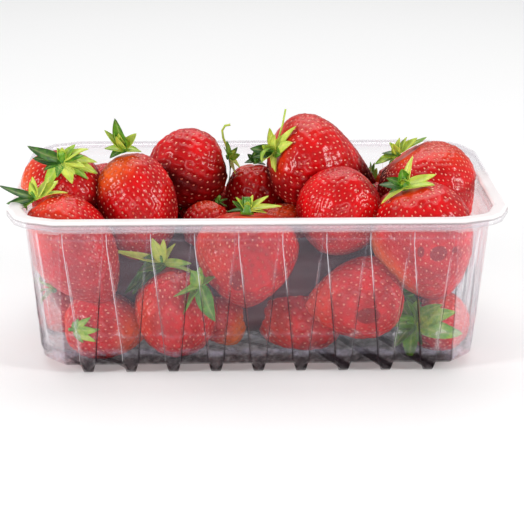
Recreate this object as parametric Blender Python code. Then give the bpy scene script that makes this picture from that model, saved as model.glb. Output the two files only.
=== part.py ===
"""A clear punnet of strawberries: a thin thermoformed tray and the heap of fruit that stands in it.

Metres, +Z up. The origin is at the middle of the tray's base, on the plane that its feet stand on.
X runs along the tray, and the side with the fullest view of the fruit faces -Y.
"""

import math

import bmesh
import bpy
import numpy as np

MM = 0.001

# Driving dimensions of the tray, in metres.
FLANGE_LENGTH = 190 * MM
FLANGE_WIDTH = 115 * MM
HEIGHT = 64.5 * MM
SHEET = 0.5 * MM
FLANGE = 5.5 * MM
LIP = 3.2 * MM
STEP = 0.8 * MM
STEP_DROP = 6.0 * MM
DRAFT = math.tan(math.radians(4.7))
FLOOR = 2.5 * MM

# Each corner's facets, as the points that they run through in from the corner: in millimetres, at
# the rim and at the floor.
RIM_CUTS = ((15.0, 0.0), (5.8, 3.6), (3.6, 5.8), (0.0, 15.0))
FLOOR_CUTS = ((12.6, 0.0), (8.0, 4.0), (4.0, 8.0), (0.0, 12.6))

# The flutes pressed outwards in each wall, and the small foot that each ends in.
FLUTE_PITCH = 16.4 * MM
LONG_FLUTES = 9
END_FLUTES = 4
FLUTE_TOP_WIDTH = 14.4 * MM
FLUTE_FOOT_WIDTH = 5.8 * MM
FLUTE_DEPTH = 2.4 * MM
FLUTE_SIDE = 0.9 * MM
FLUTE_HEAD = 53 * MM
FOOT_LENGTH = 3.5 * MM
FOOT_SLOPE = 0.8 * MM

# The slanted heel between the floor and the walls.
HEEL = 2.6 * MM
HEEL_STEP = 0.2 * MM

# Each berry of the front and top, in millimetres: crown, tip, width, how far down from the crown
# it is widest, as a share of its length, and how cone-like it is (1 is an oval).
FRONT_BERRIES = {
    "left_top": ((-78, -13, 77), (-76, -3, 42), 32, 0.40, 1.10),
    "left_front": ((-84, -31, 65), (-57, -35, 25), 33, 0.42, 1.20),
    "left_tall": ((-51, -9, 78), (-44, -14, 34), 33, 0.50, 1.10),
    "left_low": ((-76, -36, 16), (-42, -28, 12), 27, 0.42, 1.20),
    "left_corner": ((-81, -6, 20), (-72, -26, 13), 25, 0.45, 1.10),
    "low_upright": ((-37, -30, 37), (-28, -32, 1), 33, 0.50, 1.10),
    "low_small": ((-22, -14, 24), (-8, -28, 4), 21, 0.45, 1.10),
    "middle_front": ((-3, -26, 63), (-5, -35, 22), 42, 0.38, 1.15),
    "low_round": ((4, -9, 14), (31, -34, 10), 30, 0.42, 1.10),
    "low_pointed": ((56, -28, 25), (18, -39, 24), 32, 0.36, 1.20),
    "right_front": ((60, -24, 67), (73, -32, 22), 41, 0.38, 1.15),
    "right_low": ((62, -32, 14), (84, -22, 10), 25, 0.45, 1.10),
    "rim_sliver": ((-16, 1, 53), (-24, -13, 38), 18, 0.45, 1.10),
    "rim_long": ((25, 2, 44), (-5, 0, 41), 20, 0.45, 1.10),
    "left_crest": ((-12, 20, 67), (-45, 16, 58), 33, 0.45, 1.10),
    "middle_dark": ((-2, 22, 64), (2, 18, 31), 24, 0.45, 1.10),
    "high_crest": ((8, 15, 72), (51, 17, 57), 37, 0.28, 1.45),
    "round_dome": ((27, -10, 43), (38, -29, 71), 34, 0.45, 1.10),
    "right_crest": ((60, 8, 72), (83, 4, 38), 41, 0.42, 1.10),
    "left_end": ((-76, 22, 40), (-74, -6, 34), 26, 0.42, 1.10),
    "right_end": ((76, 20, 32), (73, -8, 29), 26, 0.42, 1.10),
}

# The rows along the back wall, from the floor up: where the berries stand along X, and for the
# whole row its place along Y, height, width, length and how steeply its berries lean. Their
# widest share and cone are all alike.
BACK_ROWS = (
    ((-68, -34, 0, 34, 68), 30.5, 17.2, 27, 33, 0.05),
    ((-51, -17, 20, 51), 30.5, 38.5, 26, 32, 0.60),
    ((-71, -36, 36, 70), 36.0, 52.0, 25, 30, 0.30),
)
BACK_SHAPE = (0.42, 1.10)

# The middle of the heap, which closes the gaps between its berries, and its surface's fineness.
CORE_LOW = (-74, -37, 8)
CORE_HIGH = (74, 38, 45)
BERRY_RINGS = 14
BERRY_SIDES = 20
HEAP_VOXEL = 2.2 * MM
CLEARANCE = 0.35 * MM
HEAP_TRIANGLE_SHARE = 0.10


def clear_scene():
    """Removes whatever the scene holds."""
    for obj in list(bpy.data.objects):
        bpy.data.objects.remove(obj, do_unlink=True)


def add_material(obj, name, colour, roughness, alpha=1.0):
    """Gives the object a plain material of one colour."""
    material = bpy.data.materials.new(name)
    material.use_nodes = True
    shader = material.node_tree.nodes["Principled BSDF"]
    shader.inputs["Base Color"].default_value = (*colour, 1.0)
    shader.inputs["Roughness"].default_value = roughness
    shader.inputs["Metallic"].default_value = 0.0
    shader.inputs["Alpha"].default_value = alpha
    obj.data.materials.append(material)


def add_object(name, points, faces):
    """Makes a mesh object from points and faces."""
    mesh = bpy.data.meshes.new(name)
    mesh.from_pydata([tuple(point) for point in points], [], faces)
    obj = bpy.data.objects.new(name, mesh)
    bpy.context.scene.collection.objects.link(obj)
    return obj


def outline_columns():
    """Every column of the shell, counter-clockwise from above, starting on the front wall.

    A column is (wall, flute's middle, side, on_face) on a straight wall, where side is -1 or +1 on
    a flute's two edges and on_face is 1 on its face and 0 on the wall, or (corner, cut).
    """
    columns = []
    for wall in range(4):
        flutes = LONG_FLUTES if wall % 2 == 0 else END_FLUTES
        for index in range(flutes):
            middle = (index - (flutes - 1) / 2) * FLUTE_PITCH
            columns += [(wall, middle, *edge) for edge in ((-1, 0), (-1, 1), (1, 1), (1, 0))]
        columns += [(wall, cut) for cut in range(len(RIM_CUTS))]
    return columns


def turn_quarter(x, y, quarters):
    """Turns a point about Z by quarter turns, counter-clockwise."""
    for _ in range(quarters):
        x, y = -y, x
    return x, y


def half_sizes(wall):
    """Half the rim's wall outline along a wall and across it."""
    half = (FLANGE_LENGTH / 2 - FLANGE, FLANGE_WIDTH / 2 - FLANGE)
    return half if wall % 2 == 0 else half[::-1]


def corner_point(corner, cut, grow, low):
    """A corner's point on the wall's outline, moved outwards by grow along its mitre.

    The facets go from the rim's cuts to the floor's as low goes from 0 to 1.
    """
    along, across = half_sizes(corner)
    cuts = (1 - low) * np.array(RIM_CUTS) * MM + low * np.array(FLOOR_CUTS) * MM
    edges = [0.0]
    for (first_in, first_up), (second_in, second_up) in zip(cuts, cuts[1:]):
        edges.append(math.atan2(second_up - first_up, first_in - second_in))
    edges.append(math.pi / 2)
    facing = (edges[cut] + edges[cut + 1]) / 2
    reach = grow / math.cos((edges[cut + 1] - edges[cut]) / 2)
    x = along - cuts[cut][0] + reach * math.sin(facing)
    y = -across + cuts[cut][1] - reach * math.cos(facing)
    return turn_quarter(x, y, corner)


def flute_point(wall, middle, side, spread, grow):
    """A point on a flute's edge, spread from its middle, on a wall moved outwards by grow."""
    return turn_quarter(middle + side * spread, -(half_sizes(wall)[1] + grow), wall)


def wall_inset(height):
    """How far in from the rim's outline the wall stands at a height, below the step."""
    return -STEP - (HEIGHT - height) * DRAFT


def depth_share(height):
    """How far down the wall a height is: 0 at the step under the rim, 1 at the floor."""
    top = HEIGHT - STEP_DROP
    return min(max((top - height) / (top - FLOOR), 0.0), 1.0)


def shell_profile():
    """The middle of the sheet from the floor up the wall, over the flange and down its lip.

    Gives three arrays: (move outwards, height) on the wall, the same on a flute's face, and the
    flute's width in each row.
    """
    base = wall_inset(FLOOR)
    bottom = SHEET / 2
    wall = [
        (base - HEEL - FOOT_LENGTH, FLOOR),
        (base - HEEL - FOOT_LENGTH + FOOT_SLOPE, FLOOR),
        (base - HEEL, FLOOR + HEEL_STEP),
        (base, FLOOR + HEEL_STEP + HEEL),
    ]
    face = [
        (base - HEEL - FOOT_LENGTH, FLOOR),
        (base - HEEL - FOOT_LENGTH + FOOT_SLOPE, bottom),
        (base - HEEL + FLUTE_DEPTH, bottom),
        (base + FLUTE_DEPTH, FLOOR),
    ]
    widths = [FLUTE_FOOT_WIDTH] * len(wall)
    low = FLOOR + HEEL_STEP + 2 * HEEL
    for share in (1.0, 0.5, 0.0):
        height = FLUTE_HEAD + (low - FLUTE_HEAD) * share
        wall.append((wall_inset(height), height))
        face.append((wall_inset(height) + FLUTE_DEPTH * share, height))
        widths.append(FLUTE_TOP_WIDTH + (FLUTE_FOOT_WIDTH - FLUTE_TOP_WIDTH) * share)
    rim = [
        (wall_inset(HEIGHT - STEP_DROP), HEIGHT - STEP_DROP),
        (0.0, HEIGHT - STEP_DROP + STEP),
        (0.0, HEIGHT - SHEET / 2),
        (FLANGE - SHEET / 2, HEIGHT - SHEET / 2),
        (FLANGE - SHEET / 2, HEIGHT - LIP),
    ]
    widths += [FLUTE_TOP_WIDTH] * len(rim)
    return np.array(wall + rim), np.array(face + rim), np.array(widths)


def offset_line(line, distance):
    """Moves an open line to its right by a distance, each corner along its mitre."""
    steps = np.diff(line, axis=0)
    normals = np.stack([steps[:, 1], -steps[:, 0]], axis=1)
    normals /= np.linalg.norm(normals, axis=1)[:, None]
    before = np.vstack([normals[:1], normals])
    after = np.vstack([normals, normals[-1:]])
    return line + distance * (before + after) / (1 + (before * after).sum(axis=1))[:, None]


def shell_side(offset):
    """The points of one side of the sheet, row by row: offset is positive on the outer side."""
    wall, face, widths = shell_profile()
    lines = (offset_line(wall, offset), offset_line(face, offset))
    points = []
    for row, width in enumerate(widths):
        for column in outline_columns():
            if len(column) == 2:
                grow, height = lines[0][row]
                points.append((*corner_point(*column, grow, depth_share(wall[row][1])), height))
            else:
                flute_wall, middle, side, on_face = column
                grow, height = lines[on_face][row]
                spread = width / 2 + FLUTE_SIDE * (0.5 - on_face) + offset
                points.append((*flute_point(flute_wall, middle, side, spread, grow), height))
    return points


def build_tray():
    """The tray: one formed sheet of even thickness, closed along the lip's edge."""
    count = len(outline_columns())
    outer, inner = shell_side(SHEET / 2), shell_side(-SHEET / 2)
    rows = len(outer) // count
    shift = len(outer)
    faces = [tuple(reversed(range(count))), tuple(range(shift, shift + count))]
    for column in range(count):
        after = (column + 1) % count
        for row in range(rows - 1):
            low, high = row * count, (row + 1) * count
            quad = (low + column, low + after, high + after, high + column)
            faces.append(quad)
            faces.append(tuple(shift + index for index in reversed(quad)))
        edge = (rows - 1) * count
        faces.append((edge + column, edge + after, shift + edge + after, shift + edge + column))
    tray = add_object("tray", outer + inner, faces)
    add_material(tray, "clear_plastic", (0.90, 0.92, 0.93), 0.08, alpha=0.3)
    return tray


def berry_mesh(crown, tip, width, widest, cone):
    """Points and faces of one berry, turned about the line from its crown to its tip.

    Its radius at a share t of its length is (t / m) ** (c m) ((1 - t) / (1 - m)) ** (c (1 - m))
    times half its width, where m is its widest share and c how cone-like it is.
    """
    crown = np.array(crown) * MM
    tip = np.array(tip) * MM
    axis = tip - crown
    side = np.cross(axis, (0.3, 0.2, 1.0))
    side /= np.linalg.norm(side)
    other = np.cross(axis, side)
    other /= np.linalg.norm(other)
    shares = (1 - np.cos(np.linspace(0, math.pi, BERRY_RINGS + 2)[1:-1])) / 2
    radii = (shares / widest) ** (cone * widest)
    radii *= ((1 - shares) / (1 - widest)) ** (cone * (1 - widest))
    radii *= width / 2 * MM
    turn = np.linspace(0, 2 * math.pi, BERRY_SIDES, endpoint=False)
    ring = np.cos(turn)[:, None] * side + np.sin(turn)[:, None] * other
    points = crown + shares[:, None, None] * axis + radii[:, None, None] * ring
    points = np.vstack([points.reshape(-1, 3), crown, tip])
    faces = []
    for index in range(BERRY_SIDES):
        after = (index + 1) % BERRY_SIDES
        for row in range(BERRY_RINGS - 1):
            start, end = row * BERRY_SIDES, (row + 1) * BERRY_SIDES
            faces.append((start + index, end + index, end + after, start + after))
        last = (BERRY_RINGS - 1) * BERRY_SIDES
        faces.append((len(points) - 2, index, after))
        faces.append((last + index, len(points) - 1, last + after))
    return points, faces


def back_berries():
    """The staggered rows along the back wall, each berry lying the other way to the last."""
    berries = []
    for places, y, height, width, length, lean in BACK_ROWS:
        for index, x in enumerate(places):
            way = 1 if index % 2 else -1
            reach = length / 2 * math.sqrt(1 - lean**2)
            crown = (x - way * reach, y - 2, height + lean * length / 2)
            tip = (x + way * reach, y + 2, height - lean * length / 2)
            berries.append((crown, tip, width, *BACK_SHAPE))
    return berries


def press_into_tray(mesh):
    """Moves every point that is past a wall or the floor back onto it, less the clearance.

    Each wall and facet is a plane leaning out by the draft. A facet turns from its line at the
    rim to its line at the floor, so the planes of both lines bound the inside.
    """
    points = np.empty(len(mesh.vertices) * 3, np.float32)
    mesh.vertices.foreach_get("co", points)
    points = points.reshape(-1, 3).astype(float)
    inset = SHEET / 2 + CLEARANCE
    base = wall_inset(FLOOR)
    for grow, height, lean, low in (
        (-STEP - inset, HEIGHT, math.atan(DRAFT), 0.0),
        (-STEP - inset, HEIGHT, math.atan(DRAFT), 1.0),
        (base - inset, FLOOR + HEEL_STEP + HEEL, math.radians(45), 1.0),
    ):
        outline = [corner_point(corner, cut, grow, low) for corner in range(4) for cut in range(4)]
        for start, end in zip(outline, outline[1:] + outline[:1]):
            away = np.array((end[1] - start[1], start[0] - end[0]))
            away *= math.cos(lean) / np.linalg.norm(away)
            normal = np.array((*away, -math.sin(lean)))
            past = np.maximum(points @ normal - normal @ (*start, height), 0.0)
            points -= past[:, None] * normal
    points[:, 2] = np.maximum(points[:, 2], FLOOR + HEEL_STEP + inset)
    mesh.vertices.foreach_set("co", points.astype(np.float32).ravel())
    mesh.update()


def build_heap():
    """The heap: every berry and the middle that they lie on, as one solid out to its outline."""
    points, faces = [], []
    for berry in list(FRONT_BERRIES.values()) + back_berries():
        new_points, new_faces = berry_mesh(*berry)
        faces += [tuple(index + len(points) for index in face) for face in new_faces]
        points += [tuple(point) for point in new_points]
    heap = add_object("berry_heap", points, faces)
    shape = bmesh.new()
    shape.from_mesh(heap.data)
    core = bmesh.ops.create_cube(shape, size=1.0)["verts"]
    for vertex in core:
        for axis in range(3):
            low, high = CORE_LOW[axis] * MM, CORE_HIGH[axis] * MM
            vertex.co[axis] = low if vertex.co[axis] < 0 else high
    shape.to_mesh(heap.data)
    shape.free()
    remesh = heap.modifiers.new("one_body", "REMESH")
    remesh.mode = "VOXEL"
    remesh.voxel_size = HEAP_VOXEL
    thin = heap.modifiers.new("fewer_faces", "DECIMATE")
    thin.ratio = HEAP_TRIANGLE_SHARE
    evaluated = heap.evaluated_get(bpy.context.evaluated_depsgraph_get())
    heap.data = bpy.data.meshes.new_from_object(evaluated)
    heap.modifiers.clear()
    press_into_tray(heap.data)
    add_material(heap, "ripe_berry", (0.60, 0.02, 0.02), 0.35)
    return heap


clear_scene()
build_tray()
build_heap()
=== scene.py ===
"""A clear punnet heaped with ripe strawberries, on a pale floor under soft light."""

import math

import bpy
import numpy as np
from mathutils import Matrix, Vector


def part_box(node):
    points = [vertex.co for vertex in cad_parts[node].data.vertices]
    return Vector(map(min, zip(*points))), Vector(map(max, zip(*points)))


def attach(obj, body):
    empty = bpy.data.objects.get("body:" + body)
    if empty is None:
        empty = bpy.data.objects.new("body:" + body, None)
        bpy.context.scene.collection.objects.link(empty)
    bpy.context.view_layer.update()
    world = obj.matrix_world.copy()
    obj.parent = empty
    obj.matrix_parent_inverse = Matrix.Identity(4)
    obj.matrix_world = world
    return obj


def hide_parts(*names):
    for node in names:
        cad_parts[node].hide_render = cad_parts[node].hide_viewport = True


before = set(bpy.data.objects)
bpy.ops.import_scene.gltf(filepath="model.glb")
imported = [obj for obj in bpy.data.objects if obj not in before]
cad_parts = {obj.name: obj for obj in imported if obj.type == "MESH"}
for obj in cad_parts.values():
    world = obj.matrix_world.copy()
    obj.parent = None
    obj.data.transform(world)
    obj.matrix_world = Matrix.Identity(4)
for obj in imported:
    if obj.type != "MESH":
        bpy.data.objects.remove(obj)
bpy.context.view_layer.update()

# The camera looks a little down on the punnet's long side, square on but for a degree.
MM = 0.001
AIM = np.array((0.0, 0.0, 33.0)) * MM
CAMERA_REACH = 600 * MM
CAMERA_RISE = math.radians(19.5)
CAMERA_TURN = math.radians(-1.2)

camera = bpy.data.objects.new("camera", bpy.data.cameras.new("camera"))
level = math.cos(CAMERA_RISE)
away = (math.sin(CAMERA_TURN) * level, -math.cos(CAMERA_TURN) * level, math.sin(CAMERA_RISE))
camera.location = AIM + CAMERA_REACH * np.array(away)
camera.rotation_euler = (math.pi / 2 - CAMERA_RISE, 0.0, CAMERA_TURN)
camera.data.lens = 100.6
camera.data.shift_x = 0.0115
camera.data.shift_y = -0.0214
bpy.context.scene.collection.objects.link(camera)
bpy.context.scene.camera = camera
bpy.context.scene.view_settings.view_transform = "Standard"


# The studio: a white paper floor that runs out of sight, a bright white room, and tall soft boxes
# to the left and the right that stand a little behind the front of the punnet.
class Wire:
    """A number, colour or vector that varies over a surface. Arithmetic adds its Math nodes."""

    def __init__(self, finish, socket):
        self.finish = finish
        self.socket = socket

    def math(self, operation, first, second):
        return self.finish.node("Math", {"operation": operation}, {0: first, 1: second})

    def __add__(self, other):
        return self.math("ADD", self, other)

    def __radd__(self, other):
        return self.math("ADD", other, self)

    def __sub__(self, other):
        return self.math("SUBTRACT", self, other)

    def __rsub__(self, other):
        return self.math("SUBTRACT", other, self)

    def __mul__(self, other):
        return self.math("MULTIPLY", self, other)

    def __rmul__(self, other):
        return self.math("MULTIPLY", other, self)

    def __pow__(self, other):
        return self.math("POWER", self, other)


class Finish:
    """A surface finish, built up node by node."""

    def __init__(self, owner):
        owner.use_nodes = True
        self.owner = owner
        self.tree = owner.node_tree
        self.tree.nodes.clear()

    def node(self, kind, settings=None, inputs=None, out=0):
        """Adds a node: its settings first, then the values or links of its sockets."""
        made = self.tree.nodes.new("ShaderNode" + kind)
        for name, value in (settings or {}).items():
            if name == "stops":
                for index, (place, colour) in enumerate(value):
                    stops = made.color_ramp.elements
                    stop = stops[index] if index < 2 else stops.new(place)
                    stop.position = place
                    stop.color = colour
            else:
                setattr(made, name, value)
        for name, value in (inputs or {}).items():
            if isinstance(value, Wire):
                self.tree.links.new(value.socket, made.inputs[name])
            else:
                made.inputs[name].default_value = value
        return Wire(self, made.outputs[out]) if made.outputs else None

    def blend(self, share, first, second):
        """A colour that goes from first to second as share goes from 0 to 1."""
        inputs = {"Factor": share, 6: first, 7: second}
        return self.node("Mix", {"data_type": "RGBA"}, inputs, out=2)

    def attribute(self, name):
        return self.node("Attribute", {"attribute_name": name}, out=2)

    def grain(self, size, detail=2.0):
        """Soft noise whose blobs are about as big as size, from 0 to 1."""
        place = self.node("TexCoord", out=3)
        inputs = {"Vector": place, "Scale": 1 / size, "Detail": detail}
        return self.node("TexNoise", None, inputs)


def surface_material(name):
    return Finish(bpy.data.materials.new(name))


FLOOR_HALF = 6.0
mesh = bpy.data.meshes.new("floor")
corners = [(-FLOOR_HALF, -FLOOR_HALF, 0), (FLOOR_HALF, -FLOOR_HALF, 0)]
corners += [(FLOOR_HALF, FLOOR_HALF, 0), (-FLOOR_HALF, FLOOR_HALF, 0)]
mesh.from_pydata(corners, [], [(0, 1, 2, 3)])
floor = bpy.data.objects.new("floor", mesh)
bpy.context.scene.collection.objects.link(floor)
paper = surface_material("white_paper")
inputs = {"Base Color": (0.78, 0.78, 0.78, 1), "Roughness": 0.8}
inputs |= {"Emission Color": (1, 1, 1, 1), "Emission Strength": 0.12}
shader = paper.node("BsdfPrincipled", None, inputs)
paper.node("OutputMaterial", None, {"Surface": shader})
mesh.materials.append(paper.owner)

room = Finish(bpy.data.worlds.new("white_room"))
bpy.context.scene.world = room.owner
straight = room.node("LightPath")
mirrored = room.node("LightPath", out=3)
strength = 0.22 + straight * 0.93 + mirrored * 0.25
shown = room.node("Background", None, {"Color": (1, 1, 1, 1), "Strength": strength})
room.node("OutputWorld", None, {"Surface": shown})

SOFT_BOXES = {  # where it stands, its width and height, and its power in watts
    "left_box": ((-0.80, -0.35, 0.30), (0.16, 0.46), 5.5),
    "right_box": ((0.80, -0.30, 0.32), (0.16, 0.46), 5.2),
    "top_box": ((0.0, 0.60, 1.20), (1.50, 1.20), 14.0),
    "front_box": ((-0.1, -1.2, 0.32), (0.80, 0.40), 4.6),
}
for name, (place, size, power) in SOFT_BOXES.items():
    light = bpy.data.lights.new(name, "AREA")
    light.shape = "RECTANGLE"
    light.size, light.size_y = size
    light.energy = power
    lamp = bpy.data.objects.new(name, light)
    lamp.location = place
    look = (AIM - np.array(place)) / np.linalg.norm(AIM - np.array(place))
    lamp.rotation_euler = (math.acos(-look[2]), 0.0, math.atan2(look[1], look[0]) - math.pi / 2)
    bpy.context.scene.collection.objects.link(lamp)


# The tray: one sheet of clear film, drawn over a mould while hot, with flutes that stiffen its
# walls, a small foot under each flute, and a flange whose lip turns down all round.
tray_low, tray_high = (np.array(corner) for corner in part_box("tray"))
HALF_LENGTH, HALF_WIDTH, HEIGHT = tray_high
SHEET = 0.5 * MM
FLANGE = 5.5 * MM
LIP = 3.2 * MM
STEP = 0.8 * MM
STEP_DROP = 6.0 * MM
DRAFT = math.tan(math.radians(4.7))
FLOOR = 2.5 * MM
RIM_CUTS = np.array(((15.0, 0.0), (5.8, 3.6), (3.6, 5.8), (0.0, 15.0))) * MM
FLOOR_CUTS = np.array(((12.6, 0.0), (8.0, 4.0), (4.0, 8.0), (0.0, 12.6))) * MM
CUT_ROUND = 1.8 * MM
HEEL = 2.6 * MM
RING_LINE = 15.5 * MM
UPPER_LINE = 55.3 * MM
FLUTE_PITCH = 16.4 * MM
FLUTE_COUNTS = (9, 4)
FLUTE_TOP_WIDTH = 14.4 * MM
FLUTE_FOOT_WIDTH = 5.8 * MM
FLUTE_DEPTH = 2.2 * MM
FLUTE_SIDE = 0.7 * MM
FLUTE_HEAD = 53 * MM
FOOT_LENGTH = 3.5 * MM


def wall_inset(height):
    """How far the wall stands in from the rim's outline: the step, and the draft below it."""
    return -STEP - (HEIGHT - height) * DRAFT


def turned(x, y, quarters):
    """Points turned about Z by quarter turns, counter-clockwise."""
    for _ in range(quarters):
        x, y = -y, x
    return x, y


def half_sizes(wall):
    """Half the rim's outline along a wall and across it."""
    half = (HALF_LENGTH - FLANGE, HALF_WIDTH - FLANGE)
    return half if wall % 2 == 0 else half[::-1]


def corner_planes(low):
    """Each straight stretch of the outline: (facing angle, distance from the middle).

    The corners' cuts go from the rim's to the floor's as low goes from 0 to 1.
    """
    planes = []
    cuts = (1 - low) * RIM_CUTS + low * FLOOR_CUTS
    for quarter in range(4):
        along, across = half_sizes(quarter)
        points = [(0.0, -across)] + [(along - inward, upward - across) for inward, upward in cuts]
        for (x0, y0), (x1, y1) in zip(points, points[1:]):
            facing = math.atan2(-(x1 - x0), y1 - y0)
            distance = x0 * math.cos(facing) + y0 * math.sin(facing)
            planes.append((facing + quarter * math.pi / 2, distance))
    return planes


def smooth(value):
    """The S-shaped ramp 3 v^2 - 2 v^3, kept between 0 and 1."""
    value = np.clip(value, 0.0, 1.0)
    return value * value * (3 - 2 * value)


def wall_profile():
    """The sheet's middle line from the floor to the lip: move outwards, height, flute's share.

    The flute's share is 1 at the foot and falls to 0 at the flute's head. Bends are short arcs.
    """
    base = wall_inset(FLOOR)
    bend = np.linspace(0, math.pi / 2, 7)
    heel_out = base - HEEL + HEEL * np.sin(bend)
    heel_up = FLOOR + HEEL - HEEL * np.cos(bend)
    rise = np.linspace(FLOOR + HEEL + 1.5 * MM, FLUTE_HEAD, 14)
    upper = np.linspace(FLUTE_HEAD + 1 * MM, HEIGHT - STEP_DROP - 0.4 * MM, 4)
    drawn = [line + step * MM for line in (RING_LINE, UPPER_LINE) for step in (-0.4, 0, 0.4)]
    walls = np.sort(np.concatenate([rise, upper, drawn]))
    ring = 0.25 * MM * smooth((walls - RING_LINE) / (0.8 * MM))
    wall_out = wall_inset(walls) - 0.25 * MM + ring
    step_up = HEIGHT - STEP_DROP + np.array((0.4, 0.9, 1.3)) * MM
    step_out = np.array((-0.35, -0.05, 0.0)) * MM
    turn = 1.2 * MM
    top = HEIGHT - SHEET / 2
    end = FLANGE - SHEET / 2
    arc_in = turn - turn * np.cos(bend)
    arc_up = top - turn + turn * np.sin(bend)
    arc_out = end - turn + turn * np.sin(bend)
    arc_down = top - turn + turn * np.cos(bend)
    flat_out = np.linspace(turn + 0.3 * MM, end - turn - 0.3 * MM, 3)
    out = np.concatenate([heel_out, wall_out, step_out, arc_in, flat_out, arc_out, [end, end]])
    lip_up = np.array((HEIGHT - 0.6 * LIP, HEIGHT - LIP))
    flat_up = np.full(3, top)
    height = np.concatenate([heel_up, walls, step_up, arc_up, flat_up, arc_down, lip_up])
    share = np.clip((FLUTE_HEAD - height) / (FLUTE_HEAD - FLOOR - 2 * HEEL), 0, 1)
    return out, height, share


def outline_columns():
    """Where each column of the sheet stands: rows of (quarter, kind, place, side, spread share).

    Kind 0 is on a corner: place counts its cuts and their arcs. Kind 1 is by a flute: place is
    the flute's middle, side its edge (-1 or 1, or 0 in the middle), and the last number goes
    from 0 on the wall to 1 on the flute's face.
    """
    columns = []
    across_side = np.linspace(0, 1, 6)
    for quarter in range(4):
        count = FLUTE_COUNTS[quarter % 2]
        for index in range(count):
            middle = (index - (count - 1) / 2) * FLUTE_PITCH
            columns += [(quarter, 1, middle, -1, share) for share in across_side]
            columns += [(quarter, 1, middle, 0, 1)]
            columns += [(quarter, 1, middle, 1, share) for share in across_side[::-1]]
            if index < count - 1:
                columns += [(quarter, 2, middle + FLUTE_PITCH / 2, 0, 0)]
        for cut in range(len(RIM_CUTS)):
            columns += [(quarter, 0, cut, 0, arc) for arc in np.linspace(0, 1, 5)]
    return np.array(columns)


def corner_place(quarter, cut, arc, grow, low):
    """A point of a corner's cut, on a short arc between its two planes moved outwards by grow."""
    planes = corner_planes(low)
    first = planes[(4 * quarter + cut) % 16]
    second = planes[(4 * quarter + cut + 1) % 16]
    turn = (second[0] - first[0]) % (2 * math.pi)
    round_off = CUT_ROUND
    near = np.array([[math.cos(a), math.sin(a)] for a, _ in (first, second)])
    moved = np.stack([first[1] + grow - round_off, second[1] + grow - round_off])
    centre = np.linalg.solve(near, moved)
    facing = first[0] + turn * arc
    return centre[0] + round_off * math.cos(facing), centre[1] + round_off * math.sin(facing)


def sheet_side(offset):
    """One side of the sheet as points[row, column], with how near each point is to a crease.

    A row is a step along the wall's profile and a column a step round the outline. On a flute the
    wall moves outwards by its depth times the row's share and the S ramp of the column's share.
    The crease is 1 halfway up that ramp, times the flute's side: -1 is its left and 1 its right.
    """
    out, height, share = wall_profile()
    columns = outline_columns()
    step = np.gradient(np.stack([out, height], axis=1), axis=0)
    step /= np.linalg.norm(step, axis=1)[:, None]
    grow = out + offset * step[:, 1]
    up = height - offset * step[:, 0]
    points = np.zeros((len(out), len(columns), 3))
    crease = np.zeros(points.shape[:2])
    quarter, kind, place, side, spread = columns.T
    foot = np.clip((FLOOR + HEEL - height) / HEEL, 0, 1)
    width = FLUTE_TOP_WIDTH + (FLUTE_FOOT_WIDTH - FLUTE_TOP_WIDTH) * share
    width *= 1 - 0.4 * foot
    for wall in range(4):
        across = half_sizes(wall)[1]
        on_wall = (quarter == wall) & (kind > 0)
        ramp = smooth(spread[on_wall])[None, :]
        half = width[:, None] / 2 + FLUTE_SIDE * (0.5 - spread[on_wall][None, :]) + offset
        x = place[on_wall][None, :] + side[on_wall][None, :] * half
        depth = FLUTE_DEPTH * share[:, None] * ramp
        y = -(across + grow[:, None] + depth)
        z = up[:, None] - ramp * (foot[:, None] * (FLOOR - SHEET / 2))
        x, y = turned(x, y, wall)
        points[:, on_wall] = np.stack([x, y, np.broadcast_to(z, x.shape)], axis=2)
        drawn = smooth((HEIGHT - STEP_DROP + 0.6 * MM - height) / (1.5 * MM))[:, None]
        crease[:, on_wall] = side[on_wall] * 4 * ramp * (1 - ramp) * drawn
    depths = np.clip((HEIGHT - STEP_DROP - height) / (HEIGHT - STEP_DROP - FLOOR), 0, 1)
    for index in np.flatnonzero(kind == 0):
        corner, cut = int(quarter[index]), int(place[index])
        places = [corner_place(corner, cut, spread[index], *row) for row in zip(grow, depths)]
        points[:, index, :2] = places
        points[:, index, 2] = up
        ridge = (0.45, 1.0, 1.0, 0.45)[cut]
        crease[:, index] = -ridge * (1 - abs(2 * spread[index] - 1)) * smooth(depths * 30)
    return points, crease


def wound_faces(rows, count, start, outward):
    """Quads between the rows of a closed band of points, wound to face outwards or inwards."""
    row, column = np.mgrid[: rows - 1, :count]
    after = (column + 1) % count
    low, high = start + row * count, start + (row + 1) * count
    quads = np.stack([low + column, low + after, high + after, high + column], axis=2)
    quads = quads.reshape(-1, 4)
    return quads if outward else quads[:, ::-1]


def mesh_piece(name, points, faces, material, smooth_faces=True):
    """A mesh object from a points array and a list of faces, in one material."""
    mesh = bpy.data.meshes.new(name)
    mesh.from_pydata(np.asarray(points).tolist(), [], [list(map(int, face)) for face in faces])
    mesh.materials.append(material)
    if smooth_faces:
        mesh.shade_smooth()
    piece = bpy.data.objects.new(name, mesh)
    bpy.context.scene.collection.objects.link(piece)
    return piece


def mark(piece, name, values):
    """Gives the piece a number at every point, for its material to read."""
    layer = piece.data.attributes.new(name, "FLOAT", "POINT")
    layer.data.foreach_set("value", np.asarray(values, np.float32).ravel())


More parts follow.
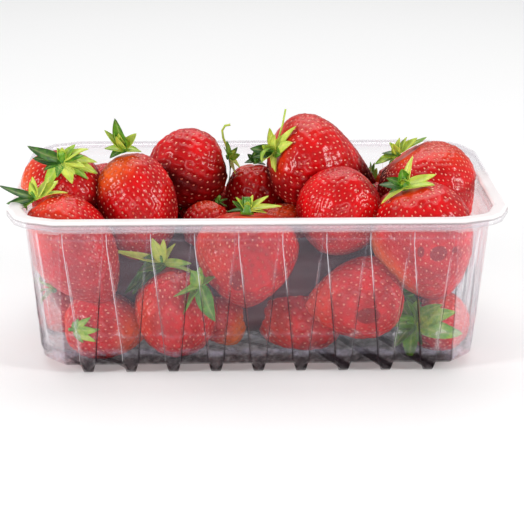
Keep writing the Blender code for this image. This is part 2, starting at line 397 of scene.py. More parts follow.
def clear_film():
    """Clear film: it lets light through, with a milky veil that is partly painted reflection, gloss, and painted
    highlights and painted shade along its creases.
    """
    film = surface_material("clear_film")
    painted_highlight = film.attribute("painted_highlight")
    milk_and_reflection = film.attribute("milk_and_reflection")
    painted_shade = film.attribute("painted_shade")
    ripple = film.grain(16 * MM, 1.0)
    crinkle = film.grain(2.5 * MM, 2.0)
    low = film.attribute("low")
    height = ripple + low * crinkle * 0.7
    bump = film.node("Bump", None, {"Strength": 0.3, "Distance": 0.5 * MM, "Height": height})
    through = film.node("BsdfTransparent", None, {"Color": (0.985, 0.98, 0.985, 1)})
    dark = film.node("Clamp", None, {0: painted_shade * 4.0})
    # The veil goes whiter with its milkiness, which is partly the film's own haze and partly painted reflection.
    milk_and_glare = film.node("Clamp", None, {0: milk_and_reflection * 4.0})
    cloud = film.blend(milk_and_glare, (0.76, 0.70, 0.90, 1), (0.97, 0.92, 0.92, 1))
    # Painted shade: near black along dark lines and at the bottom, standing in for dark refraction.
    cloud = film.blend(dark, cloud, (0.02, 0.012, 0.016, 1))
    # Painted highlights: the veil goes near white along light lines on the creases and rings.
    cloud = film.blend(painted_highlight, cloud, (0.95, 0.93, 0.94, 1))
    inputs = {"Base Color": cloud, "Roughness": 0.5, "Specular IOR Level": 0.1, "Normal": bump}
    veil = film.node("BsdfPrincipled", None, inputs)
    inputs = {"Color": (1, 1, 1, 1), "Roughness": 0.07, "Normal": bump}
    gloss = film.node("BsdfGlossy", None, inputs)
    rim = film.node("Fresnel", None, {"IOR": 1.45, "Normal": bump})
    streaks = low * (crinkle - 0.48) * 1.0
    share = film.node("Clamp", None, {0: milk_and_reflection + painted_highlight * 0.55 + painted_shade * 0.9 + streaks})
    body = film.node("MixShader", None, {0: share, 1: through, 2: veil})
    shown = film.node("MixShader", None, {0: rim * 0.4 * (1 - dark), 1: body, 2: gloss})
    film.node("OutputMaterial", None, {"Surface": shown})
    return film.owner


outer, crease = sheet_side(SHEET / 2)
inner, _ = sheet_side(-SHEET / 2)
rows, count = outer.shape[:2]
shift = rows * count
faces = list(wound_faces(rows, count, 0, True)) + list(wound_faces(rows, count, shift, False))
lip = (rows - 1) * count + np.arange(count)
faces += list(np.stack([lip, np.roll(lip, -1), shift + np.roll(lip, -1), shift + lip], axis=1))
faces += [np.arange(count)[::-1], shift + np.arange(count)]
points = np.concatenate([outer.reshape(-1, 3), inner.reshape(-1, 3)])
points[:, 2] = np.maximum(points[:, 2], 0.0)
tray = mesh_piece("clear_tray", points, faces, clear_film())
x, z = points[:, 0], points[:, 2]
lines = np.concatenate([crease.ravel(), np.zeros(crease.size)])
on_left, on_right = np.maximum(-lines, 0), np.maximum(lines, 0)
low_part = smooth((40 * MM - z) / (10 * MM))
fading = low_part * smooth((x + 50 * MM) / (20 * MM)) * (abs(x) < 78 * MM)
on_top = smooth((z - HEIGHT + 1.6 * MM) / (1.0 * MM))
on_lip = smooth((z - HEIGHT + 5.0 * MM) / (1.0 * MM))
at_ends = smooth((abs(x) - 48 * MM) / (26 * MM))
# Painted highlights along the drawn rings and just under the step, on the front half.
rings = sum(
    strength * np.exp(-(((z - line) / (0.3 * MM)) ** 2))
    for line, strength in ((RING_LINE, 0.10), (UPPER_LINE, 0.10), (HEIGHT - STEP_DROP + 0.9 * MM, 0.5))
) * (points[:, 1] < 0)
# Painted highlights: light lines down the flutes' left creases and the corner ridges, fainter ones high on the
# right creases, and the rings.
mark(tray, "painted_highlight", on_left**2 * (1 - fading) + 0.25 * on_right**2 * (1 - low_part) + rings)
# Painted shade: dark lines at the flange's bends, on the creases low on the wall, and over the wall's bottom.
bends = np.exp(-(((z - HEIGHT + 1.3 * MM) / (0.35 * MM)) ** 2))
bends += np.exp(-(((z - HEIGHT + LIP - 0.3 * MM) / (0.35 * MM)) ** 2)) * (points[:, 1] < 0)
at_front = 0.15 + 0.85 * smooth((15 * MM - points[:, 1]) / (30 * MM))
bottom = 0.30 * smooth((8.5 * MM - z) / (2.5 * MM)) * smooth((78 * MM - abs(x)) / (6 * MM))
mark(tray, "painted_shade", on_left * fading + on_right * low_part + 0.2 * bends * at_front + bottom)
# The milky veil: a little of the film's own haze, plus painted reflection that grows up the wall and towards the
# ends and turns the flange top and lip near white, fainter at the back.
veil = 0.008 + 0.018 * smooth((z - 14 * MM) / (20 * MM)) + 0.018 * at_ends
mark(tray, "milk_and_reflection", veil + (0.15 * on_lip + 0.60 * on_top) * at_front)
mark(tray, "low", smooth((8.5 * MM - z) / (2.0 * MM)) * smooth((z - 1.0 * MM) / (1.5 * MM)))
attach(tray, "root")
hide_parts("tray")


# The berries: garden strawberries, laid in by hand and uneven in size. Each is a blunt cone with
# soft flats and bends, pitted all over, and pressed flat where it leans on the film.
BERRIES = {  # crown and tip (mm), width, widest share, cone, pit spacing, orange and its side
    "left_top": ((-78, -13, 77), (-76, -3, 42), 32, 0.40, 1.10, 3.0, 0.5, (-1, -0.1, 0.2)),
    "left_front": ((-84, -31, 65), (-57, -35, 25), 33, 0.42, 1.20, 2.6, 0.25, (-0.3, -0.3, 0.4)),
    "left_tall": ((-51, -9, 78), (-44, -14, 34), 33, 0.50, 1.10, 2.7, 0.6, (-0.7, -0.1, 1.0)),
    "left_low": ((-76, -36, 16), (-42, -28, 12), 27, 0.42, 1.20, 2.9, 0.5, (1, -0.3, -0.2)),
    "left_corner": ((-81, -6, 20), (-72, -26, 13), 25, 0.45, 1.10, 2.8, 0.3, (0, 0, 1)),
    "low_upright": ((-37, -30, 37), (-28, -32, 1), 33, 0.50, 1.10, 2.9, 0.3, (-0.8, -0.4, 0)),
    "low_small": ((-22, -14, 24), (-8, -28, 4), 21, 0.45, 1.10, 2.6, 1.0, (0.7, -0.3, -0.6)),
    "middle_front": ((-3, -28, 58.5), (-5, -35, 22), 42, 0.38, 1.15, 3.0, 0.25, (-0.8, -0.4, 0.2)),
    "low_round": ((4, -9, 14), (31, -34, 10), 30, 0.42, 1.10, 3.2, 0.2, (-0.5, -0.5, 0)),
    "low_pointed": ((56, -28, 25), (18, -39, 24), 32, 0.36, 1.20, 3.0, 0.25, (-1, -0.2, 0.1)),
    "right_front": ((58, -28, 68.5), (73, -27, 22), 41, 0.38, 1.15, 2.9, 0.9, (-0.8, -0.1, -0.6)),
    "right_low": ((62, -32, 14), (84, -22, 10), 25, 0.45, 1.10, 2.9, 0.3, (0, -0.3, 0.8)),
    "rim_sliver": ((-16, 1, 53), (-24, -13, 38), 18, 0.45, 1.10, 2.6, 0.3, (0, 0, 1)),
    "rim_long": ((25, 2, 44), (-5, 0, 41), 20, 0.45, 1.10, 2.6, 0.4, (-0.2, -0.3, 1)),
    "left_crest": ((-12, 20, 67), (-45, 16, 58), 33, 0.45, 1.10, 3.7, 0.25, (1, 0, -0.2)),
    "middle_dark": ((-2, 22, 64), (2, 18, 31), 24, 0.45, 1.10, 3.2, 0.1, (0, 0, 1)),
    "high_crest": ((8, 7, 73.5), (51, 20, 56), 37, 0.28, 1.45, 3.0, 0.12, (-0.4, 0, 0.9)),
    "round_dome": ((27, -10, 43), (38, -29, 71), 34, 0.45, 1.10, 2.3, 0.15, (0, -0.3, -1)),
    "right_crest": ((60, 8, 72), (83, 4, 38), 41, 0.42, 1.10, 2.5, 0.3, (0.3, 0, 1)),
    "left_end": ((-76, 22, 40), (-74, -6, 34), 26, 0.42, 1.10, 3.0, 0.2, (0, 0, 1)),
    "right_end": ((76, 20, 32), (73, -8, 29), 26, 0.42, 1.10, 3.0, 0.2, (0, 0, 1)),
}
BACK_ROWS = (  # x places, y, height, width, length and lean of each row along the back wall
    ((-68, -34, 0, 34, 68), 30.5, 17.2, 27, 33, 0.05),
    ((-51, -17, 20, 51), 30.5, 38.5, 26, 32, 0.60),
    ((-66, -34, 34, 66), 36.0, 47.0, 25, 30, 0.20),
)
for row, (places, y, height, width, length, lean) in enumerate(BACK_ROWS):
    for index, x in enumerate(places):
        way = 1 if index % 2 else -1
        reach = length / 2 * math.sqrt(1 - lean**2)
        crown = (x - way * reach, y - 2, height + lean * length / 2)
        tip = (x + way * reach, y + 2, height - lean * length / 2)
        BERRIES[f"back_{row}_{index}"] = (crown, tip, width, 0.42, 1.1, 3.2, 0.3, (way, 0, 0.5))

PIT_DEPTH = 0.75 * MM
PIT_WIDTH = 0.40
CELLS = 40
GOLDEN = math.pi * (3 - math.sqrt(5))
PRESS_GAP = 0.25 * MM
WET_SPOTS = (  # berry, then the middle of a patch that juice sticks to the film: x, z, half sizes
    ("middle_front", -8, 38, 2.6, 4.4),
    ("low_pointed", 42, 23, 4.4, 3.2),
    ("right_front", 68, 48, 3.2, 3.0),
    ("right_front", 61, 49, 1.2, 2.2),
    ("right_front", 74.5, 48.5, 1.3, 1.5),
)


def ball_grid(cells):
    """A ball as six square grids that bulge out: unit points and quads, its seams merged.

    Along a square's side the angle goes evenly from -45 to 45 degrees, so cells are alike.
    """
    angle = np.tan(np.linspace(-math.pi / 4, math.pi / 4, cells + 1))
    u, v = np.meshgrid(angle, angle, indexing="ij")
    one = np.ones_like(u)
    sides = [(one, u, v), (-one, v, u), (v, one, u), (u, -one, v), (u, v, one), (v, u, -one)]
    points = np.concatenate([np.stack(side, axis=2).reshape(-1, 3) for side in sides])
    points /= np.linalg.norm(points, axis=1)[:, None]
    _, kept, index = np.unique(np.round(points, 6), axis=0, return_index=True, return_inverse=True)
    row, column = np.mgrid[:cells, :cells]
    corner = row * (cells + 1) + column
    quad = np.stack([corner, corner + cells + 1, corner + cells + 2, corner + 1], axis=2)
    starts = np.arange(6)[:, None] * (cells + 1) ** 2
    quads = index.reshape(-1)[(quad.reshape(1, -1, 4) + starts[:, :, None]).reshape(-1, 4)]
    return points[kept], quads


def berry_frame(crown, tip):
    """The berry's crown, its length, and three directions: two across it and one towards its tip."""
    crown, tip = np.array(crown, float) * MM, np.array(tip, float) * MM
    length = np.linalg.norm(tip - crown)
    down = (tip - crown) / length
    side = np.cross(down, (0.3, 0.2, 1.0))
    side /= np.linalg.norm(side)
    return crown, length, np.stack([side, np.cross(down, side), down])


def flesh_points(turn, share, berry, draws):
    """Points of a berry's smooth skin at angles round it and shares of its length from its crown.

    The radius is (t / m) ** (c m) ((1 - t) / (1 - m)) ** (c (1 - m)) times half the width: it is
    widest at t = m, and c is how cone-like it is. Waves of two to four lobes swell it, its axis
    bows, and its crown dips.
    """
    crown, tip, width, widest, cone = berry[:5]
    origin, length, axes = berry_frame(crown, tip)
    share = np.clip(share, 1e-9, 1 - 1e-9)
    radius = (share / widest) ** (cone * widest)
    radius = radius * ((1 - share) / (1 - widest)) ** (cone * (1 - widest)) * width / 2 * MM
    lobes = sum(
        strength * np.cos(lobe * turn + start + twist * share)
        for lobe, strength, start, twist in zip((2, 3, 4), *draws["lobes"])
    )
    radius = radius * (1 + lobes)
    bow = draws["bow"] * MM * np.sin(math.pi * share)
    dip = 1.6 * MM * np.exp(-((radius / (0.16 * width * MM)) ** 2)) * (share < 0.5)
    local = np.stack([radius * np.cos(turn) + bow, radius * np.sin(turn), share * length + dip], axis=-1)
    return origin + local @ axes


def pit_places(berry, draws):
    """Angles and shares of the pits: turned by the golden angle, at even steps of skin area."""
    share = np.linspace(0, 1, 400)
    ring = flesh_points(np.zeros(400), share, berry, draws)
    origin, length, axes = berry_frame(berry[0], berry[1])
    radius = np.abs((ring - origin) @ axes[0])
    path = np.linalg.norm(np.diff(ring, axis=0), axis=1)
    area = np.concatenate([[0], np.cumsum(2 * math.pi * (radius[1:] + radius[:-1]) / 2 * path)])
    spacing = berry[5] * MM
    count = int(area[-1] / (0.88 * spacing**2))
    spots = (np.arange(count) + 0.5) / count
    pits = np.interp(spots**1.06 * area[-1], area, share)
    turn = np.arange(count) * GOLDEN + draws["start"]
    keep = pits > 0.02
    jitter = draws["random"].normal(0, 0.10 * spacing, (2, count))
    turn = turn + jitter[0] / np.maximum(np.interp(pits, share, radius), 2 * MM)
    pits = np.clip(pits + jitter[1] / length, 0.0, 0.995)
    return turn[keep], pits[keep]


def film_planes():
    """The planes of the film's inner side: outward directions and their distances."""
    normals, reaches = [], []
    base = wall_inset(FLOOR)
    inner = SHEET / 2 + PRESS_GAP
    slopes = (
        (-STEP - inner, HEIGHT, math.atan(DRAFT), 0.0),
        (-STEP - inner, HEIGHT, math.atan(DRAFT), 1.0),
        (base - inner, FLOOR + HEEL, math.radians(45), 1.0),
    )
    for grow, height, lean, low in slopes:
        for facing, distance in corner_planes(low):
            level = np.array((math.cos(facing), math.sin(facing), 0.0)) * math.cos(lean)
            normal = level - np.array((0, 0, math.sin(lean)))
            normals.append(normal)
            reaches.append((distance + grow) * math.cos(lean) - height * math.sin(lean))
    normals.append(np.array((0.0, 0.0, -1.0)))
    reaches.append(-(FLOOR + inner))
    return np.array(normals), np.array(reaches)


def press_on_film(points):
    """Moves points that are past the film, below the rim, back onto it."""
    inside = points[:, 2] < HEIGHT - 1.5 * MM
    for normal, reach in zip(*film_planes()):
        past = np.maximum(points @ normal - reach, 0.0) * inside
        points = points - past[:, None] * normal
    return points


def berry_draws(index):
    """The chance part of one berry's shape, from its own seed."""
    random = np.random.default_rng(40 + index)
    strengths = np.array((0.035, 0.022, 0.014)) * random.uniform(0.5, 1.3, 3)
    lobes = (strengths, random.uniform(0, 2 * math.pi, 3), random.uniform(-2, 2, 3))
    bow, start = random.uniform(-1.3, 1.3), random.uniform(0, 2 * math.pi)
    return {"lobes": lobes, "bow": bow, "start": start, "random": random}


def pitted_berry(name, berry, draws, ball):
    """A berry's skin with its pits pressed in, and what its colour needs at every point.

    Each pit lowers the skin by its depth times exp(-(d / w) ** 2), d being the way to its middle.
    """
    turn = np.arctan2(ball[:, 1], ball[:, 0])
    share = (1 - ball[:, 2]) / 2
    points = flesh_points(turn, share, berry, draws)
    pit_turn, pit_share = pit_places(berry, draws)
    pits = flesh_points(pit_turn, pit_share, berry, draws)
    origin, length, axes = berry_frame(berry[0], berry[1])
    middle = origin + 0.42 * length * axes[2]
    outward = points - middle
    outward /= np.linalg.norm(outward, axis=1)[:, None]
    gaps = (points**2).sum(1)[:, None] + (pits**2).sum(1)[None, :] - 2 * points @ pits.T
    reach = PIT_WIDTH * berry[5] * MM
    hollow = np.exp(-np.maximum(gaps, 0) / reach**2).sum(axis=1)
    hollow = np.minimum(hollow, 1.1)
    depth = PIT_DEPTH * berry[5] / 3.0
    skin = points + outward * (0.45 - hollow)[:, None] * depth
    side = np.array(berry[7], float)
    facing = outward @ (side / np.linalg.norm(side))
    crown_glow = 0.3 * smooth((0.08 - share) / 0.08)
    orange = np.maximum(berry[6] * smooth((facing - 0.5) / 0.5), crown_glow)
    pressed = press_on_film(skin)
    wet = np.zeros(len(skin))
    for spot, x, z, wide, tall in WET_SPOTS:
        if spot == name:
            off = np.hypot((pressed[:, 0] / MM - x) / wide, (pressed[:, 2] / MM - z) / tall)
            wet = np.maximum(wet, np.clip(1.5 - off, 0, 1) * (pressed[:, 1] < -0.035))
    marks = {"pit": np.clip(hollow, 0, 1), "orange": orange, "wet": wet}
    return pressed, marks, (pits, middle, depth)


def neighbour_shade(points, middle, others):
    """How much the berries nearby shut a skin off from the light, from 0 to 1 at every point.

    Each neighbour is a ball of radius r at distance d and adds (r / d) ** 2 times the cosine of
    its direction from the skin's outward one. Skin that faces down adds a little of its own.
    """
    outward = points - middle
    outward /= np.linalg.norm(outward, axis=1)[:, None]
    hidden = 0.35 * np.clip(0.1 - outward[:, 2], 0, 1)
    for centre, radius in others:
        way = centre - points
        reach = np.linalg.norm(way, axis=1)
        facing = np.clip((way * outward).sum(axis=1) / reach, 0, 1)
        hidden = hidden + facing * np.clip(radius / reach, 0, 1) ** 2
    return smooth((hidden - 0.40) / 0.95)


def berry_skin():
    """Ripe skin: glossy red, orange where it ripened last, dark in wet patches, with painted shade in its pits and
    in the gaps between berries.
    """
    skin = surface_material("berry_skin")
    pit = skin.attribute("pit")
    wet = skin.attribute("wet")
    orange = skin.attribute("orange")
    shade = skin.attribute("shade")
    mottle = skin.grain(9 * MM, 3.0)
    fine = skin.grain(0.9 * MM, 2.0)
    ramp = {"stops": [(0.30, (0.38, 0.0, 0.001, 1)), (0.72, (0.78, 0.002, 0.004, 1))]}
    red = skin.node("ValToRGB", ramp, {"Fac": mottle})
    warm = {"stops": [(0.0, (0.80, 0.03, 0.005, 1)), (0.9, (0.88, 0.20, 0.02, 1))]}
    glow = skin.node("ValToRGB", warm, {"Fac": orange * (0.6 + mottle * 0.6)})
    share = skin.node("Clamp", None, {0: orange * 1.6 * (mottle + 0.45)})
    colour = skin.blend(share, red, glow)
    # Painted shade in the pits: their floors are given a darker red.
    colour = skin.blend(pit * 0.35, colour, (0.30, 0.001, 0.004, 1))
    stuck = {"stops": [(0.40, (0, 0, 0, 1)), (0.52, (1, 1, 1, 1))]}
    edge = skin.node("ValToRGB", stuck, {"Fac": wet * (0.6 + mottle * 0.8)})
    juice = skin.node("RGBToBW", None, {0: edge})
    colour = skin.blend(juice * 0.9, colour, (0.26, 0.001, 0.004, 1))
    # Painted shade: near black where neighbouring berries crowd the skin.
    colour = skin.blend(shade, colour, (0.035, 0.0, 0.001, 1))
    bump = skin.node("Bump", None, {"Strength": 0.2, "Distance": 0.1 * MM, "Height": fine})
    inputs = {"Base Color": colour, "Roughness": 0.32 - juice * 0.2 + shade * 0.5, "Normal": bump}
    inputs |= {"Coat Weight": 0.32 - shade * 0.32, "Coat Roughness": 0.15, "Specular IOR Level": 0.16}
    inputs |= {"Subsurface Weight": 0.08, "Subsurface Scale": 2.0 * MM}
    shader = skin.node("BsdfPrincipled", None, inputs)
    skin.node("OutputMaterial", None, {"Surface": shader})
    return skin.owner


ball, ball_faces = ball_grid(CELLS)
skin_material = berry_skin()
grown = []
for index, (name, berry) in enumerate(BERRIES.items()):
    grown.append(pitted_berry(name, berry, berry_draws(index), ball))
PILES = {"berries_left": [], "berries_middle": [], "berries_right": [], "berries_back": []}
for index, name in enumerate(BERRIES):
    x = (BERRIES[name][0][0] + BERRIES[name][1][0]) / 2
    if name.startswith("back"):
        PILES["berries_back"].append(index)
    else:
        pile = "berries_left" if x < -35 else "berries_right" if x > 32 else "berries_middle"
        PILES[pile].append(index)
balls = []
for (_, _, (_, middle, _)), berry in zip(grown, BERRIES.values()):
    balls.append((middle, (berry[2] + berry_frame(berry[0], berry[1])[1] / MM) / 4 * MM))
# Painted shade from the neighbours, stronger above the rim.
for index, (points, marks, (_, middle, _)) in enumerate(grown):
    hidden = neighbour_shade(points, middle, balls[:index] + balls[index + 1 :])
    marks["shade"] = hidden * (0.3 + 0.65 * smooth((points[:, 2] - 52 * MM) / (12 * MM)))
for name, members in PILES.items():
    points = np.concatenate([grown[index][0] for index in members])
    faces = np.concatenate([ball_faces + step * len(ball) for step in range(len(members))])
    pile = mesh_piece(name, points, faces, skin_material)
    for layer in ("pit", "orange", "wet", "shade"):
        mark(pile, layer, np.concatenate([grown[index][1][layer] for index in members]))
    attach(pile, "root")
    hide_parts("berry_heap")


# The heap's middle: the berries that lie under all those that show. Only their dark, shadowed sides could be seen,
# so they are one uneven body whose near-black red colour is painted shade.
CORE_MIDDLE = np.array((0.0, 1.0, 22.5)) * MM
CORE_HALF = np.array((74.0, 27.0, 18.0)) * MM
round_off = (ball**4).sum(axis=1)[:, None] ** -0.25
lumps = 1 + 0.07 * np.sin(9 * ball[:, :1] + 2) * np.sin(7 * ball[:, 1:2]) + 0.05 * np.sin(11 * ball[:, 2:])
core = mesh_piece("heap_core", CORE_MIDDLE + ball * round_off * lumps * CORE_HALF, ball_faces, None)
shade = surface_material("shadowed_fruit")
blotch = shade.grain(12 * MM, 3.0)
colour = shade.blend(blotch, (0.012, 0.002, 0.004, 1), (0.11, 0.004, 0.008, 1))
shader = shade.node("BsdfPrincipled", None, {"Base Color": colour, "Roughness": 0.55})
shade.node("OutputMaterial", None, {"Surface": shader})
core.data.materials.clear()
core.data.materials.append(shade.owner)
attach(core, "root")
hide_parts("berry_heap")


# The seeds: one hard straw-coloured pip at the bottom of every pit, lying along the berry.
SEED_LENGTH = 1.30 * MM
SEED_WIDTH = 0.75 * MM
SEED_HEIGHT = 0.50 * MM
SEED_SIDES = 6


def seed_shape():
    """A pip as two rings of points and two ends: a drop, narrower towards the berry's crown."""
    turn = np.arange(SEED_SIDES) * 2 * math.pi / SEED_SIDES
    rings = [(-0.22, 0.85), (0.20, 1.0)]
    points = [(-0.5, 0.0, 0.0)]
    for along, size in rings:
        points += [(along, size * math.cos(a) / 2, size * math.sin(a) / 2) for a in turn]
    points.append((0.5, 0.0, 0.0))
    last = len(points) - 1
    faces = []
    for index in range(SEED_SIDES):
        after = (index + 1) % SEED_SIDES
        near, far = 1 + index, 1 + SEED_SIDES + index
        near_after, far_after = 1 + after, 1 + SEED_SIDES + after
        faces += [(0, near_after, near), (near, near_after, far), (near_after, far_after, far)]
        faces += [(far, far_after, last)]
    return np.array(points), np.array(faces)


def seed_coat():
    """Straw-yellow seed coat with a satin gloss, browner here and there."""
    coat = surface_material("seed_coat")
    tone = coat.attribute("tone")
    colour = coat.blend(tone, (0.74, 0.14, 0.08, 1), (0.86, 0.36, 0.24, 1))
    inputs = {"Base Color": colour, "Roughness": 0.38, "Coat Weight": 0.4}
    shader = coat.node("BsdfPrincipled", None, inputs)
    coat.node("OutputMaterial", None, {"Surface": shader})
    return coat.owner


seed_points, seed_faces = seed_shape()
seed_material = seed_coat()
random = np.random.default_rng(7)
for name, members in PILES.items():
    placed, tones = [], []
    for index in members:
        berry = list(BERRIES.values())[index]
        pits, middle, depth = grown[index][2]
        _, _, axes = berry_frame(berry[0], berry[1])
        out = pits - middle
        out /= np.linalg.norm(out, axis=1)[:, None]
        along = axes[2] - (out @ axes[2])[:, None] * out
        along /= np.linalg.norm(along, axis=1)[:, None]
        across = np.cross(out, along)
        size = random.uniform(0.85, 1.1, len(pits))[:, None, None] * min(1.0, berry[5] / 3.0)
        shape = size * (
            seed_points[:, 0][None, :, None] * SEED_LENGTH * along[:, None]
            + seed_points[:, 1][None, :, None] * SEED_WIDTH * across[:, None]
            + seed_points[:, 2][None, :, None] * SEED_HEIGHT * out[:, None]
        )
        seat = pits - out * (0.50 * depth)
        seeds = seat[:, None] + shape
        placed.append(press_on_film(seeds.reshape(-1, 3)))
        tones.append(np.repeat(random.uniform(0, 1, len(pits)), len(seed_points)))
    points = np.concatenate(placed)
    total = len(points) // len(seed_points)
    faces = (seed_faces[None] + np.arange(total)[:, None, None] * len(seed_points)).reshape(-1, 3)
    seeds = mesh_piece(name.replace("berries", "seeds"), points, faces, seed_material)
    mark(seeds, "tone", np.concatenate(tones))
    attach(seeds, "root")


